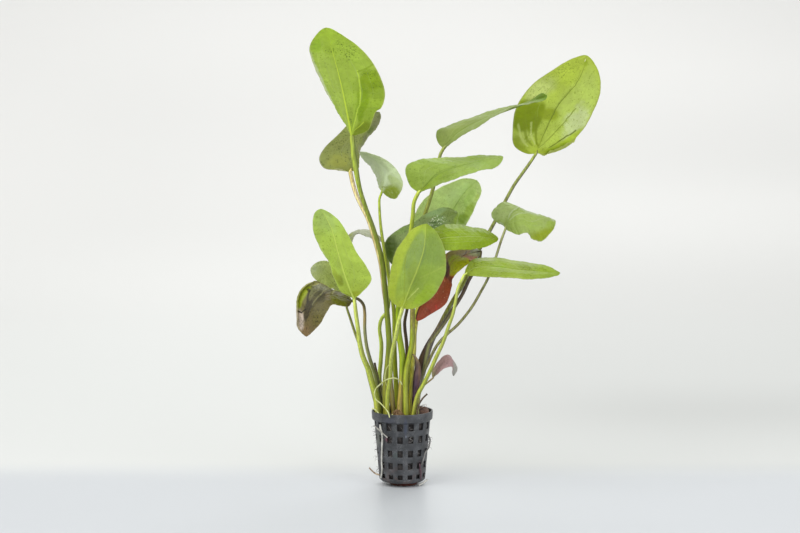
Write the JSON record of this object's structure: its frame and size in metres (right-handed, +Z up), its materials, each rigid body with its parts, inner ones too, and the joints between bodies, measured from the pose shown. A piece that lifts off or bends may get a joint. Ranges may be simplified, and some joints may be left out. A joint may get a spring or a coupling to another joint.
{
  "type": "potted ozelot echinodorus",
  "caption": "Aquarium sword plant with a rosette of broad speckled leaves on long stalks, rooted in a small round net pot.",
  "frame": {"origin": "on the ground under the pot's axis, on the underside of the growing medium that comes out of the pot", "axes": "+Z up, +X to the right and +Y away from a viewer who stands in front, where the broad front leaf is"},
  "size_m": [0.2507, 0.1125, 0.3757],
  "materials": {
    "pot_plastic": "dull, dusty moulded plastic",
    "growing_medium": "rough fibrous coir",
    "crown_fibre": "dull plant fibre",
    "leaf_green": "satin leaf, bright yellow-green",
    "leaf_olive": "satin leaf, olive with dark specks",
    "leaf_silver": "satin leaf, grey-green",
    "leaf_dark_green": "satin leaf, dark green with dark and pale specks",
    "leaf_purple": "satin leaf, purple-brown",
    "leaf_red": "satin leaf, red-brown",
    "stalk_green": "satin stalk, yellow-green",
    "stalk_olive": "satin stalk, olive",
    "stalk_dark": "satin stalk, purple-black",
    "root_pale": "dull root, off-white",
    "root_brown": "dull root, brown"
  },
  "bodies": {
    "root": {"pot": "pot_plastic", "substrate": "growing_medium", "crown": "crown_fibre", "blade_tall_left": "leaf_green", "stalk_tall_left": "stalk_green", "blade_olive_left": "leaf_olive", "stalk_olive_left": "stalk_green", "blade_silver_upper": "leaf_silver", "stalk_silver_upper": "stalk_green", "blade_edge_on_top": "leaf_silver", "stalk_edge_on_top": "stalk_green", "blade_upper_middle": "leaf_green", "stalk_upper_middle": "stalk_green", "blade_tall_right": "leaf_green", "stalk_tall_right": "stalk_olive", "blade_broad_back": "leaf_silver", "stalk_broad_back": "stalk_green", "blade_dark_middle": "leaf_dark_green", "stalk_dark_middle": "stalk_dark", "blade_front": "leaf_green", "stalk_front": "stalk_green", "blade_crumpled_right": "leaf_green", "stalk_crumpled_right": "stalk_olive", "blade_middle_right": "leaf_green", "stalk_middle_right": "stalk_olive", "blade_long_right": "leaf_green", "stalk_long_right": "stalk_green", "blade_front_left": "leaf_green", "stalk_front_left": "stalk_green", "blade_drooping_purple": "leaf_purple", "stalk_drooping_purple": "stalk_dark", "blade_arched": "leaf_olive", "stalk_arched": "stalk_green", "blade_low_left": "leaf_olive", "stalk_low_left": "stalk_olive", "blade_red": "leaf_red", "stalk_red": "stalk_dark", "leaf_young_rolled": "leaf_purple", "blade_young_red": "leaf_red", "stalk_young_red": "stalk_dark", "stub_left": "stalk_dark", "stub_right": "stalk_dark", "root_loop": "root_pale", "root_green": "stalk_green", "root_thin": "root_pale", "root_pot_left": "root_pale", "root_cross": "root_pale", "root_tan": "root_brown", "root_foot_right": "root_pale", "root_side_right": "root_pale", "root_red_right": "root_brown"}
  },
  "joints": []
}
